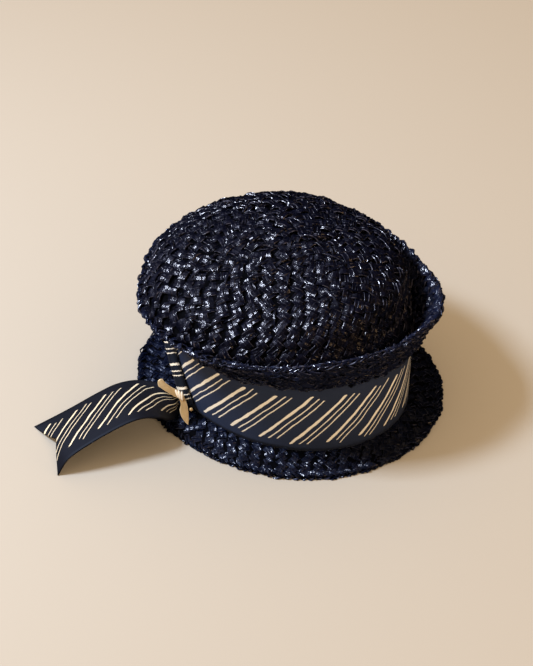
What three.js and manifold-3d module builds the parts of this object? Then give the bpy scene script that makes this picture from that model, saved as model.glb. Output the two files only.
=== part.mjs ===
// A straw breton hat: a tall oval crown with a rounded top, a narrow upturned
// brim near the top of the crown, a second flat brim that the hat stands on,
// and a wide ribbon round the crown whose rolled end is held by a gilt tie and
// runs out into a loose swallow-tailed end.
//
// Millimetres. +Z is up, +X runs along the hat's long axis, and -Y is the side
// with the gilt tie. Angles are oval parameters in degrees, counted from +X
// towards +Y. The finished group stands on z = 0, centred under its own box.

import * as THREE from 'three';
import Module from 'manifold-3d';
import { mergeVertices } from 'three/addons/utils/BufferGeometryUtils.js';

const wasm = await Module();
wasm.setup();

// ---------------------------------------------------------------- dimensions

const GAP = 0.3;                    // left between pieces that touch
const SIDES = 60;                   // facets round the head
const STRAW = 2.5;                  // thickness of the plaited straw
const RIBBON = 1.0;                 // thickness of the ribbon
const RIBBON_WIDTH = 64;

const HEAD = { length: 96.9, width: 80.3 };          // half axes inside the crown wall
const BRIM_EDGE = { length: 124.5, width: 109.3 };   // half axes of the lower brim's edge
const BRIM_THICK = 3.0;
const BRIM_DROP = 2.7;              // from the crown down to the lower brim's edge

const WALL_FOOT = BRIM_DROP + BRIM_THICK + GAP;      // where the crown's wall starts
const WALL_TOP = WALL_FOOT + RIBBON_WIDTH + GAP;     // underside of the upturned brim

// Half axes of the ribbon's outer face on the crown's wall.
const RIBBON_FACE = {
  length: HEAD.length + STRAW + GAP + RIBBON,
  width: HEAD.width + STRAW + GAP + RIBBON,
};

// How far the lower brim's edge strays outwards from its oval.
const BRIM_STATIONS = [
  { angle: 0, stray: -1.5 },
  { angle: 30, stray: 1.3 },
  { angle: 60, stray: 2.0 },
  { angle: 90, stray: 0.7 },
  { angle: 120, stray: -0.1 },
  { angle: 150, stray: -0.8 },
  { angle: 180, stray: -1.7 },
  { angle: 210, stray: 1.7 },
  { angle: 240, stray: 1.3 },
  { angle: 270, stray: -0.9 },
  { angle: 300, stray: -0.5 },
  { angle: 330, stray: -1.6 },
];

// The crown's mid-surface where it stands free inside the upturned brim, and
// the centre of each section.
const CROWN_SECTIONS = [
  { z: WALL_FOOT, length: 98.15, width: 81.55, x: 0, y: 0 },
  { z: WALL_TOP + 4, length: 98.15, width: 81.55, x: 0, y: 0 },
  { z: WALL_TOP + 9, length: 95.2, width: 81.2, x: 1.5, y: -0.8 },
  { z: 88, length: 92.0, width: 82.0, x: 1.5, y: -1.8 },
  { z: 98, length: 90.0, width: 82.8, x: 0.0, y: -2.5 },
];
const CAP = { z: 109, length: 88.2, width: 83.6, x: -1.8, y: -2.5, rise: 33.5, fullness: 2.15 };
const CAP_ROWS = 8;

// Elsewhere the crown spreads to a broad shoulder that fills the brim: how far
// it keeps off the brim's middle on the way up and at the rim, and where its
// rounded top begins, measured inwards and upwards from the rim.
const SHOULDER = { off: 2.4, lift: 2.2, rimOff: 3.4, rimLift: 0.6, inset: 8, rise: 3.5, fullness: 1.6 };

// The upturned brim, measured outwards from the ribbon: how far out its bend
// and its top edge stand, how high the top edge is, and how far the crown's
// shoulder fills it, from 0 to 1.
const CUFF_STATIONS = [
  { angle: 0, bend: 8, edge: 10.5, top: 98, fill: 0 },
  { angle: 30, bend: 12, edge: 21, top: 97, fill: 0 },
  { angle: 60, bend: 9.5, edge: 18, top: 97, fill: 0.5 },
  { angle: 90, bend: 9, edge: 22.5, top: 98, fill: 1 },
  { angle: 120, bend: 9, edge: 29, top: 99, fill: 1 },
  { angle: 150, bend: 9, edge: 22.5, top: 99, fill: 1 },
  { angle: 180, bend: 9, edge: 20, top: 98, fill: 1 },
  { angle: 210, bend: 9, edge: 20, top: 96, fill: 1 },
  { angle: 240, bend: 14, edge: 27.5, top: 94.5, fill: 1 },
  { angle: 270, bend: 13.5, edge: 23.5, top: 94.5, fill: 0.85 },
  { angle: 300, bend: 11, edge: 13, top: 97, fill: 0.6 },
  { angle: 330, bend: 6, edge: 7.5, top: 99, fill: 0.3 },
];
const BEND = { height: 78, round: 4 };               // where it turns up, and how softly

// The rolled end of the ribbon: where its middle crosses the crown's wall.
const ROLL_PATH = [
  { angle: 225.0, z: 63.0 },
  { angle: 233.0, z: 49.0 },
  { angle: 241.0, z: 33.0 },
  { angle: 246.3, z: 21.0 },
  { angle: 250.5, z: 11.0 },
];
const ROLL = { halfWidth: 6.2, halfDepth: 3.8, pinch: 0.12, rows: 18, sides: 14 };

// The loose end of the ribbon: its far and near edges, from the tips inwards.
const TAIL_SECTIONS = [
  { far: [-121, -166.5, 0.5], near: [-69, -194.5, 0.5] },
  { far: [-116, -158, 3.5], near: [-64, -186, 14.5] },
  { far: [-106, -141, 10], near: [-54, -169, 25] },
  { far: [-94, -119, 18.5], near: [-42, -147, 33] },
  { far: [-86.5, -106, 22], near: [-35, -134, 34] },
  { far: [-76, -95, 23.5], near: [-30, -121.5, 27.5] },
  { far: [-61, -88.5, 24], near: [-32.9, -107, 14] },
  { far: [-49, -86, 20.5], near: [-36.5, -96, 7.5] },
  { far: [-45.1, -83.4, 17.5], near: [-40.0, -87.2, 8.5] },
];
const TAIL = { rows: 26, columns: 8, notch: 15, crown: 2.0 };

// The gilt tie: a flat forked plate seen square on, and the knot behind it.
const TIE_CENTRE = new THREE.Vector3(-37.35, -88.4, 23);
const TIE_FACING = { azimuth: 38, elevation: 39 };
const TIE_THICK = 1.4;
const TIE_BEVEL = 0.4;
const KNOT = { width: 4.6, height: 5.2, depth: 3.4 };

// ------------------------------------------------------------------- helpers

const radians = THREE.MathUtils.degToRad;

/** A point on an oval, moved `out` along the oval's own normal. */
function onOval(angle, halfLength, halfWidth, out = 0) {
  const c = Math.cos(angle);
  const s = Math.sin(angle);
  const normal = new THREE.Vector2(halfWidth * c, halfLength * s).normalize();
  return new THREE.Vector2(halfLength * c, halfWidth * s).addScaledVector(normal, out);
}

/** Smooth value between rows that go round the oval, such as `bend` at an angle. */
function aroundOval(rows, key, angle) {
  const turn = THREE.MathUtils.euclideanModulo(angle / (2 * Math.PI), 1) * rows.length;
  const first = Math.floor(turn);
  const t = turn - first;
  const pick = (k) => rows[(first + k + rows.length) % rows.length][key];
  return catmullRom(pick(-1), pick(0), pick(1), pick(2), t);
}

function catmullRom(p0, p1, p2, p3, t) {
  const v0 = (p2 - p0) / 2;
  const v1 = (p3 - p1) / 2;
  return (2 * p1 - 2 * p2 + v0 + v1) * t ** 3 + (-3 * p1 + 3 * p2 - 2 * v0 - v1) * t ** 2 + v0 * t + p1;
}

/** Angles of the facets' corners round the head. */
function aroundHead() {
  return Array.from({ length: SIDES }, (_, k) => (2 * Math.PI * k) / SIDES);
}

/** A geometry from points and triangles, with shared points merged. */
function geometryFrom(points, triangles) {
  const geometry = new THREE.BufferGeometry();
  const numbers = points.flatMap((p) => p.toArray());
  geometry.setAttribute('position', new THREE.Float32BufferAttribute(numbers, 3));
  geometry.setIndex(triangles.flat());
  const merged = mergeVertices(geometry, 1e-4);
  const index = Array.from(merged.index.array);
  const kept = [];
  for (let k = 0; k < index.length; k += 3) {
    const [a, b, c] = index.slice(k, k + 3);
    if (a !== b && b !== c && c !== a) kept.push(a, b, c);
  }
  merged.setIndex(kept);
  merged.computeVertexNormals();
  return merged;
}

/**
 * A sheet of even thickness about a grid of points, grid[row][column]. A
 * wrapped grid closes round on itself; an open one gets an edge on each side.
 * The first and last rows get an edge too, unless they shrink to one point.
 */
function sheet(grid, thickness, wrap) {
  const rows = grid.length;
  const columns = grid[0].length;
  const across = (j) => (wrap ? (j + columns) % columns : THREE.MathUtils.clamp(j, 0, columns - 1));
  const along = (i) => THREE.MathUtils.clamp(i, 0, rows - 1);
  const top = [];
  const bottom = [];
  for (let i = 0; i < rows; i++) {
    for (let j = 0; j < columns; j++) {
      const du = grid[i][across(j + 1)].clone().sub(grid[i][across(j - 1)]);
      const dv = grid[along(i + 1)][j].clone().sub(grid[along(i - 1)][j]);
      const normal = du.lengthSq() < 1e-6 ? new THREE.Vector3(0, 0, 1) : du.cross(dv).normalize();
      top.push(grid[i][j].clone().addScaledVector(normal, thickness / 2));
      bottom.push(grid[i][j].clone().addScaledVector(normal, -thickness / 2));
    }
  }
  const count = rows * columns;
  const at = (i, j) => i * columns + across(j);
  const triangles = [];
  const quad = (a, b, c, d) => triangles.push([a, b, c], [a, c, d]);
  const lastColumn = wrap ? columns : columns - 1;
  for (let i = 0; i < rows - 1; i++) {
    for (let j = 0; j < lastColumn; j++) {
      quad(at(i, j), at(i, j + 1), at(i + 1, j + 1), at(i + 1, j));
      quad(count + at(i, j), count + at(i + 1, j), count + at(i + 1, j + 1), count + at(i, j + 1));
    }
  }
  const isPoint = (i) => grid[i][0].distanceTo(grid[i][Math.floor(columns / 2)]) < 1e-6;
  for (let j = 0; j < lastColumn; j++) {
    if (!isPoint(0)) quad(at(0, j + 1), at(0, j), count + at(0, j), count + at(0, j + 1));
    const i = rows - 1;
    if (!isPoint(i)) quad(at(i, j), at(i, j + 1), count + at(i, j + 1), count + at(i, j));
  }
  if (!wrap) {
    const j = columns - 1;
    for (let i = 0; i < rows - 1; i++) {
      quad(at(i, 0), at(i + 1, 0), count + at(i + 1, 0), count + at(i, 0));
      quad(at(i + 1, j), at(i, j), count + at(i, j), count + at(i + 1, j));
    }
  }
  return geometryFrom([...top, ...bottom], triangles);
}

/** A closed mesh as a solid that can be joined or cut. */
function solid(geometry) {
  const bare = geometry.clone();
  bare.deleteAttribute('normal');
  bare.deleteAttribute('uv');
  const merged = mergeVertices(bare, 1e-4);
  const mesh = new wasm.Mesh({
    numProp: 3,
    vertProperties: new Float32Array(merged.attributes.position.array),
    triVerts: new Uint32Array(merged.index.array),
  });
  return new wasm.Manifold(mesh);
}

/** The geometry of a solid. */
function geometryOf(body) {
  const mesh = body.getMesh();
  const geometry = new THREE.BufferGeometry();
  geometry.setAttribute('position', new THREE.BufferAttribute(mesh.vertProperties, 3));
  geometry.setIndex(new THREE.BufferAttribute(mesh.triVerts, 1));
  geometry.computeVertexNormals();
  return geometry;
}

// --------------------------------------------------------------- straw parts

/** The upturned brim's sizes at an angle: its bend, its top edge and the crown's share in it. */
function cuffAt(angle) {
  return {
    face: aroundOval(CUFF_STATIONS, 'bend', angle) - STRAW / 2,
    lip: aroundOval(CUFF_STATIONS, 'edge', angle) - STRAW / 2,
    top: aroundOval(CUFF_STATIONS, 'top', angle),
    fill: THREE.MathUtils.clamp(aroundOval(CUFF_STATIONS, 'fill', angle), 0, 1),
  };
}

/** A point beside the ribbon's outer face. */
function besideRibbon(angle, out, z) {
  const p = onOval(angle, RIBBON_FACE.length, RIBBON_FACE.width, out);
  return new THREE.Vector3(p.x, p.y, z);
}

/** A profile of the rounded top, from a point on the crown's side up to its middle. */
function capProfile(foot, fullness) {
  const peak = new THREE.Vector3(CAP.x, CAP.y, CAP.z + CAP.rise);
  return Array.from({ length: CAP_ROWS + 1 }, (_, k) => {
    const lift = (k / CAP_ROWS) * (Math.PI / 2);
    const reach = k === CAP_ROWS ? 0 : Math.cos(lift) ** (2 / fullness);
    const climb = Math.sin(lift) ** (2 / fullness);
    return peak.clone().lerp(foot, reach).setZ(THREE.MathUtils.lerp(foot.z, peak.z, climb));
  });
}

/** The crown's profile at an angle, if it stands free inside the brim there. */
function freeProfile(angle) {
  const level = (row) => {
    const p = onOval(angle, row.length, row.width);
    return new THREE.Vector3(p.x + row.x, p.y + row.y, row.z);
  };
  return [...CROWN_SECTIONS.map(level), ...capProfile(level(CAP), CAP.fullness)];
}

/** The crown's profile at an angle, if its shoulder fills the brim there. */
function shoulderProfile(angle) {
  const { face, lip, top } = cuffAt(angle);
  const rising = (out, z) => besideRibbon(angle, out - SHOULDER.off, z + SHOULDER.lift);
  const foot = besideRibbon(angle, lip - SHOULDER.inset, top + SHOULDER.rise);
  return [
    ...freeProfile(angle).slice(0, 2),
    rising(face, BEND.height + 0.5 * BEND.round),
    rising(THREE.MathUtils.lerp(face, lip, 0.45), THREE.MathUtils.lerp(BEND.height, top, 0.55)),
    besideRibbon(angle, lip - SHOULDER.rimOff, top + SHOULDER.rimLift),
    ...capProfile(foot, SHOULDER.fullness),
  ];
}

/** The crown: an upright oval wall and a broad, rounded top, open underneath. */
function crownGeometry() {
  const profiles = aroundHead().map((angle) => {
    const shoulder = shoulderProfile(angle);
    return freeProfile(angle).map((p, row) => p.lerp(shoulder[row], cuffAt(angle).fill));
  });
  const grid = profiles[0].map((_, row) => profiles.map((profile) => profile[row]));
  return sheet(grid, STRAW, true);
}

/** The upturned brim: a narrow floor round the crown, then a bend and a rising, slanted edge. */
function upturnedBrimGeometry() {
  const floor = WALL_TOP + GAP + STRAW / 2;
  const profile = (angle) => {
    const { face, lip, top } = cuffAt(angle);
    const foot = face - BEND.round + STRAW / 2;
    return [
      { out: -RIBBON, z: floor },
      { out: 0, z: floor },
      { out: (foot - RIBBON) / 2, z: floor + 1 },
      { out: foot, z: BEND.height - BEND.round },
      { out: face - 0.15 * BEND.round, z: BEND.height - 0.3 * BEND.round },
      { out: face, z: BEND.height + 0.5 * BEND.round },
      { out: THREE.MathUtils.lerp(face, lip, 0.45), z: THREE.MathUtils.lerp(BEND.height, top, 0.55) },
      { out: lip, z: top - 0.4 },
    ];
  };
  const profiles = aroundHead().map(profile);
  const grid = profiles[0].map((_, row) => aroundHead().map((angle, column) => {
    const { out, z } = profiles[column][row];
    return besideRibbon(angle, out, z);
  }));
  return sheet(grid, STRAW, true);
}

/** The lower brim: seated under the crown's wall, dropping to a flat outer ring. */
function lowerBrimGeometry() {
  const profile = [
    { across: 0.0, z: BRIM_DROP },
    { across: 0.14, z: BRIM_DROP },
    { across: 0.5, z: BRIM_DROP * 0.6 },
    { across: 0.76, z: 0 },
    { across: 0.84, z: 0 },
    { across: 1.0, z: 0 },
  ];
  const grid = profile.map(({ across, z }) => aroundHead().map((angle) => {
    const length = THREE.MathUtils.lerp(HEAD.length, BRIM_EDGE.length, across);
    const width = THREE.MathUtils.lerp(HEAD.width, BRIM_EDGE.width, across);
    const p = onOval(angle, length, width, across * aroundOval(BRIM_STATIONS, 'stray', angle));
    return new THREE.Vector3(p.x, p.y, z + BRIM_THICK / 2);
  }));
  return sheet(grid, BRIM_THICK, true);
}

// -------------------------------------------------------------- ribbon parts

/** The band of ribbon round the crown's wall. */
function ribbonBandGeometry() {
  const heights = [WALL_FOOT, WALL_FOOT + RIBBON_WIDTH / 2, WALL_FOOT + RIBBON_WIDTH];
  const grid = heights.map((z) => aroundHead().map((angle) => besideRibbon(angle, -RIBBON / 2, z)));
  return sheet(grid, RIBBON, true);
}

/** The rolled stretch of ribbon that slants down the band. */
function ribbonRollGeometry() {
  const centre = GAP + ROLL.halfDepth;
  const path = new THREE.CatmullRomCurve3(
    ROLL_PATH.map(({ angle, z }) => besideRibbon(radians(angle), centre, z)));
  const points = [];
  const triangles = [];
  for (let i = 0; i <= ROLL.rows; i++) {
    const t = i / ROLL.rows;
    const middle = path.getPoint(t);
    const along = path.getTangent(t);
    const outward = new THREE.Vector3(
      middle.x / RIBBON_FACE.length ** 2, middle.y / RIBBON_FACE.width ** 2, 0).normalize();
    const sideways = along.clone().cross(outward).normalize();
    const pinch = 1 - ROLL.pinch * Math.sin(Math.PI * t);
    for (let j = 0; j < ROLL.sides; j++) {
      const turn = (2 * Math.PI * j) / ROLL.sides;
      points.push(middle.clone()
        .addScaledVector(sideways, ROLL.halfWidth * pinch * Math.cos(turn))
        .addScaledVector(outward, ROLL.halfDepth * Math.sin(turn)));
    }
  }
  const at = (i, j) => i * ROLL.sides + (j % ROLL.sides);
  for (let i = 0; i < ROLL.rows; i++) {
    for (let j = 0; j < ROLL.sides; j++) {
      triangles.push([at(i, j), at(i + 1, j + 1), at(i, j + 1)]);
      triangles.push([at(i, j), at(i + 1, j), at(i + 1, j + 1)]);
    }
  }
  for (let j = 1; j < ROLL.sides - 1; j++) {
    triangles.push([at(0, 0), at(0, j), at(0, j + 1)]);
    triangles.push([at(ROLL.rows, 0), at(ROLL.rows, j + 1), at(ROLL.rows, j)]);
  }
  return geometryFrom(points, triangles);
}

/** The loose end: an arched strip from the tie down to two tips on the ground. */
function ribbonTailGeometry() {
  const points = (key) => TAIL_SECTIONS.map((row) => new THREE.Vector3(...row[key]));
  const edge = (key) => new THREE.CatmullRomCurve3(points(key));
  const far = edge('far');
  const near = edge('near');
  const length = far.getLength();
  const grid = [];
  for (let i = 0; i <= TAIL.rows; i++) {
    const row = [];
    for (let j = 0; j <= TAIL.columns; j++) {
      const across = j / TAIL.columns;
      const fromMiddle = Math.abs(2 * across - 1);
      const cut = (TAIL.notch / length) * (1 - fromMiddle);
      const t = THREE.MathUtils.lerp(cut, 1, i / TAIL.rows);
      const p = far.getPoint(t).lerp(near.getPoint(t), across);
      p.z += TAIL.crown * Math.sin(Math.PI * across) * Math.sin(Math.PI * t);
      row.push(p);
    }
    grid.push(row);
  }
  return sheet(grid, RIBBON, false);
}

// ------------------------------------------------------------------ gilt tie

/** The forked plate's outline, in millimetres right and up from the knot. */
function tieOutline() {
  const outline = new THREE.Shape();
  outline.moveTo(-15.2, 13.9);
  outline.quadraticCurveTo(-12.0, 9.2, -4.2, 5.6);
  outline.quadraticCurveTo(2.6, 3.6, 4.6, -1.6);
  outline.quadraticCurveTo(6.0, -8.0, 5.6, -22.0);
  outline.quadraticCurveTo(-1.6, -16.4, -2.2, -9.6);
  outline.quadraticCurveTo(-1.6, -4.6, -3.8, -1.4);
  outline.quadraticCurveTo(-9.0, 2.0, -16.6, 6.6);
  outline.quadraticCurveTo(-17.8, 10.4, -15.2, 13.9);
  return outline;
}

/** The gilt tie: the plate with a rounded knot that meets the ribbon's roll. */
function giltTieGeometry() {
  const plate = new THREE.ExtrudeGeometry(tieOutline(), {
    depth: TIE_THICK - 2 * TIE_BEVEL,
    bevelEnabled: true,
    bevelThickness: TIE_BEVEL,
    bevelSize: TIE_BEVEL,
    bevelSegments: 1,
    curveSegments: 6,
  });
  const knot = new THREE.SphereGeometry(1, 16, 10).scale(KNOT.width, KNOT.height, KNOT.depth);
  return geometryOf(solid(plate).add(solid(knot)));
}

// ---------------------------------------------------------------- assembling

const STRAW_LOOK = { color: 0x14161f, roughness: 0.35, metalness: 0.0 };
const RIBBON_LOOK = { color: 0x23242d, roughness: 0.8, metalness: 0.0 };
const GILT_LOOK = { color: 0xb9945a, roughness: 0.35, metalness: 0.9 };

function part(name, geometry, look) {
  const mesh = new THREE.Mesh(geometry, new THREE.MeshStandardMaterial(look));
  mesh.name = name;
  return mesh;
}

const tie = part('gilt_tie', giltTieGeometry(), GILT_LOOK);
const facing = new THREE.Euler(
  radians(90 - TIE_FACING.elevation), 0, radians(TIE_FACING.azimuth), 'ZYX');
tie.rotation.copy(facing);
tie.position.copy(TIE_CENTRE);

const hat = new THREE.Group();
hat.add(
  part('crown', crownGeometry(), STRAW_LOOK),
  part('upturned_brim', upturnedBrimGeometry(), STRAW_LOOK),
  part('lower_brim', lowerBrimGeometry(), STRAW_LOOK),
  part('ribbon_band', ribbonBandGeometry(), RIBBON_LOOK),
  part('ribbon_roll', ribbonRollGeometry(), RIBBON_LOOK),
  part('ribbon_tail', ribbonTailGeometry(), RIBBON_LOOK),
  tie,
);

// Stand the group on z = 0 with its box centred over the origin.
const box = new THREE.Box3().setFromObject(hat);
const middle = box.getCenter(new THREE.Vector3());
hat.position.set(-middle.x, -middle.y, -box.min.z);
hat.updateMatrixWorld(true);

export default hat;
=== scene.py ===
"""A straw breton hat: a plaited crown, two brims, a striped ribbon and a gilt tie.

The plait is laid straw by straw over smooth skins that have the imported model's shape. Lengths are
millimetres in the tables and fields and metres in the meshes, angles are degrees, and a turn is a share
of the way round the head, from +X towards +Y.
"""

import sys

import logging
import math
from collections.abc import Callable, Sequence
from dataclasses import dataclass, field
from enum import Enum
from typing import NamedTuple

import bmesh
import bpy
import numpy as np
from bmesh.types import BMesh, BMFace, BMVert
from bpy.types import Material, Mesh, NodeSocket, Object
from mathutils import Matrix, Vector


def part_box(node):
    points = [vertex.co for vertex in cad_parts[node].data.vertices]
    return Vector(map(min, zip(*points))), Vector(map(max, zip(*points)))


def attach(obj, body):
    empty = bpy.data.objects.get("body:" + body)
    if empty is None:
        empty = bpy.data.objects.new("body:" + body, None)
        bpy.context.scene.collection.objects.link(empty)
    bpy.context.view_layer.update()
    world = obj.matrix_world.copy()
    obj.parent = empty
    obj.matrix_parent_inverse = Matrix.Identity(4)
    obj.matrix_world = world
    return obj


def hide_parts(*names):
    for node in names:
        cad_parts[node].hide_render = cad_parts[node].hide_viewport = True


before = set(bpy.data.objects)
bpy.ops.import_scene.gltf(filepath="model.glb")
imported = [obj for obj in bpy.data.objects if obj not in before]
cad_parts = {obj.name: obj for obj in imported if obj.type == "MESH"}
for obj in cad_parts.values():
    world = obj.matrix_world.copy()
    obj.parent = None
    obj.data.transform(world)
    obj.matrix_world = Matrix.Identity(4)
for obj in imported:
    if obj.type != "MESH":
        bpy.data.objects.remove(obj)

MM = 0.001
LOG = logging.getLogger("breton_hat")
ROOT = "root"
Array = np.ndarray
Value = float | tuple | NodeSocket  # what a node's socket can be given
Colour = tuple[float, float, float, float]
Place = tuple[float, float, float]


class Slot(Enum):
    """Names of material slots; no piece is given one here."""

    STRAW = "straw"
    RIBBON = "ribbon"
    GILT = "gilt"


# --- shape tables

@dataclass(frozen=True)
class Oval:
    """Half axes of an oval about the head's middle."""

    length: float
    width: float

    def ring(self, turn: Array, z: Array | float = 0.0, out: Array | float = 0.0) -> Array:
        """Points on the oval, moved along its own normal.

        Args:
            turn: where round the oval, as shares of a turn.
            z: how high they are.
            out: how far outwards.

        Returns:
            points[turn, xyz].
        """
        c, s = np.cos(2 * np.pi * turn), np.sin(2 * np.pi * turn)
        size = np.hypot(self.width * c, self.length * s)
        x = self.length * c + out * self.width * c / size
        y = self.width * s + out * self.length * s / size
        return np.stack([x, y, z + 0 * turn], axis=-1)


class Section(NamedTuple):
    """One level of the crown's mid-surface: its height, half axes and middle."""

    z: float
    length: float
    width: float
    x: float
    y: float


GAP = 0.3                    # between neighbouring pieces
STRAW = 2.5                  # thickness of the crown's wall and the upturned brim
RIBBON = 1.0                 # thickness that the ribbon takes up
RIBBON_WIDTH = 64.0
HEAD = Oval(96.9, 80.3)
BRIM_EDGE = Oval(124.5, 109.3)
BRIM_THICK = 3.0
BRIM_DROP = 2.7              # from the lower brim's foot at the wall down to its edge
WALL_FOOT = BRIM_DROP + BRIM_THICK + GAP
WALL_TOP = WALL_FOOT + RIBBON_WIDTH + GAP
RIBBON_FACE = Oval(HEAD.length + STRAW + GAP + RIBBON, HEAD.width + STRAW + GAP + RIBBON)

CROWN_SECTIONS = (
    Section(WALL_FOOT, 98.15, 81.55, 0.0, 0.0),
    Section(WALL_TOP + 4, 98.15, 81.55, 0.0, 0.0),
    Section(WALL_TOP + 9, 95.2, 81.2, 1.5, -0.8),
    Section(88.0, 92.0, 82.0, 1.5, -1.8),
    Section(98.0, 90.0, 82.8, 0.0, -2.5),
)
CAP = Section(109.0, 88.2, 83.6, -1.8, -2.5)
CAP_RISE = 26.5
CAP_FULLNESS = 2.15          # 2 for an ellipse

BEND_HEIGHT = 78.0
BEND_ROUND = 4.0

# The upturned brim and the lower brim every 30 degrees round the head, the first at +X.
CUFF_BEND = (8, 12, 9.5, 9, 9, 9, 9, 9, 14, 13.5, 11, 6)                     # how far out it bends
CUFF_EDGE = (10.5, 21, 18, 22.5, 29, 22.5, 20, 20, 27.5, 23.5, 13, 7.5)      # how far out it ends
CUFF_TOP = (98, 97, 97, 98, 99, 99, 98, 96, 94.5, 94.5, 97, 99)
CUFF_FILL = (0, 0, 0.5, 1, 1, 1, 1, 1, 1, 0.85, 0.6, 0.3)                    # the crown's share in it
EDGE_STRAYS = (-1.5, 1.3, 2.0, 0.7, -0.1, -0.8, -1.7, 1.7, 1.3, -0.9, -0.5, -1.6)  # from BRIM_EDGE

# The two edges of the ribbon's loose end, from the tips inwards.
TAIL_FAR = (
    (-121, -166.5, 0.5), (-116, -158, 3.5), (-106, -141, 10), (-94, -119, 18.5), (-86.5, -106, 22),
    (-76, -95, 23.5), (-61, -88.5, 24), (-49, -86, 20.5), (-45.1, -83.4, 17.5),
)
TAIL_NEAR = (
    (-69, -194.5, 0.5), (-64, -186, 14.5), (-54, -169, 25), (-42, -147, 33), (-35, -134, 34),
    (-30, -121.5, 27.5), (-32.9, -107, 14), (-36.5, -96, 7.5), (-40.0, -87.2, 8.5),
)

# Where the middle of the ribbon's roll crosses the wall, from the foot up: height and degrees round.
ROLL_PATH = ((11.0, 250.5), (21.0, 246.3), (33.0, 241.0), (49.0, 233.0), (63.0, 225.0))


# --- lines and grids

def head_middle() -> Vector:
    """The point on the ground below the middle of the head's oval, in metres."""
    low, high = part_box("ribbon_band")
    return Vector(((low.x + high.x) / 2, (low.y + high.y) / 2, 0.0))


def placed(points: Array) -> Array:
    """Millimetres about the head's middle, as metres in the frame."""
    return np.asarray(points, float) * MM + np.array(head_middle())


def steps_of(points: Array) -> Array:
    """How far it is from each point to the next along the first axis."""
    return np.linalg.norm(np.diff(points, axis=0), axis=-1)


def run_of(points: Array) -> Array:
    """How far each point is from the first, along the first axis."""
    steps = steps_of(points)
    return np.concatenate([np.zeros_like(steps[:1]), np.cumsum(steps, axis=0)])


def normalised(vectors: Array) -> Array:
    """Vectors brought to a length of 1."""
    return vectors / np.linalg.norm(vectors, axis=-1, keepdims=True)


def catmull_rom(p0: Array, p1: Array, p2: Array, p3: Array, t: Array) -> Array:
    """A smooth value between p1 and p2.

    Args:
        p0: the value before p1.
        p1: the value where t is 0.
        p2: the value where t is 1.
        p3: the value after p2.
        t: how far from p1 to p2, from 0 to 1.

    Returns:
        The value.
    """
    v0, v1 = (p2 - p0) / 2, (p3 - p1) / 2
    return (2 * p1 - 2 * p2 + v0 + v1) * t**3 + (-3 * p1 + 3 * p2 - 2 * v0 - v1) * t**2 + v0 * t + p1


def around(values: Sequence[float], turn: Array) -> Array:
    """Smooth values between given ones that are spread evenly round the head.

    Args:
        values: the given ones.
        turn: where to read them, as shares of a turn.

    Returns:
        One value for each turn.
    """
    given = np.array(values, float)
    place = np.mod(turn, 1.0) * len(given)
    first = np.floor(place).astype(int)
    picked = [given[(first + k) % len(given)] for k in (-1, 0, 1, 2)]
    return catmull_rom(*picked, place - first)


def along_line(points: Array | tuple, t: Array) -> Array:
    """A smooth line through points, even in the points' own numbering.

    Args:
        points: the points, first axis along the line.
        t: where to read it, from 0 at the first point to 1 at the last.

    Returns:
        One point for each t.
    """
    points = np.asarray(points, float)
    padded = np.concatenate([[2 * points[0] - points[1]], points, [2 * points[-1] - points[-2]]])
    place = np.clip(t, 0, 1) * (len(points) - 1)
    first = np.minimum(np.floor(place).astype(int), len(points) - 2)
    share = (place - first).reshape((-1,) + (1,) * (points.ndim - 1))
    return catmull_rom(padded[first], padded[first + 1], padded[first + 2], padded[first + 3], share)


def evenly(grid: Array, step: float) -> Array:
    """A grid's rows again, evenly spaced along each column.

    Args:
        grid: points[row, column, xyz].
        step: about how far apart the new rows are.

    Returns:
        The new grid, with the same columns.
    """
    run = run_of(grid)
    share = np.linspace(0, 1, max(3, int(round(run[-1].mean() / step)) + 1))
    columns = [
        np.stack([np.interp(share * run[-1, j], run[:, j], grid[:, j, k]) for k in range(3)], axis=1)
        for j in range(grid.shape[1])
    ]
    return np.stack(columns, axis=1)


def normals_of(grid: Array) -> Array:
    """Unit normals of a wrapped grid, to the side where columns run left to right as rows run up.

    Args:
        grid: points[row, column, xyz], whose last column meets the first.

    Returns:
        An array of the grid's own shape.
    """
    across = np.roll(grid, -1, axis=1) - np.roll(grid, 1, axis=1)
    normal = np.cross(across, np.gradient(grid, axis=0))
    size = np.linalg.norm(normal, axis=2, keepdims=True)
    flat = np.broadcast_to([0.0, 0.0, 1.0], normal.shape)
    return np.where(size > 1e-9, normal / np.maximum(size, 1e-12), flat)


@dataclass(frozen=True)
class Cuff:
    """The upturned brim's middle at some places round the head."""

    face: Array
    lip: Array
    top: Array
    fill: Array

    @classmethod
    def at(cls, turn: Array) -> "Cuff":
        """The brim's sizes at some places, as shares of a turn."""
        face, lip, top, fill = (around(v, turn) for v in (CUFF_BEND, CUFF_EDGE, CUFF_TOP, CUFF_FILL))
        return cls(face - STRAW / 2, lip - STRAW / 2, top, np.clip(fill, 0, 1))

    @property
    def middle_out(self) -> Array:
        """How far out the upright edge is about half-way up."""
        return self.face * 0.55 + self.lip * 0.45

    @property
    def middle_up(self) -> Array:
        """How high that place is."""
        return BEND_HEIGHT * 0.45 + self.top * 0.55


# --- meshes

def linked(name: str, data: bpy.types.ID) -> Object:
    """Makes an object in the scene.

    Args:
        name: its name.
        data: its mesh, camera or light.

    Returns:
        The object.
    """
    made = bpy.data.objects.new(name, data)
    bpy.context.scene.collection.objects.link(made)
    return made


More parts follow.
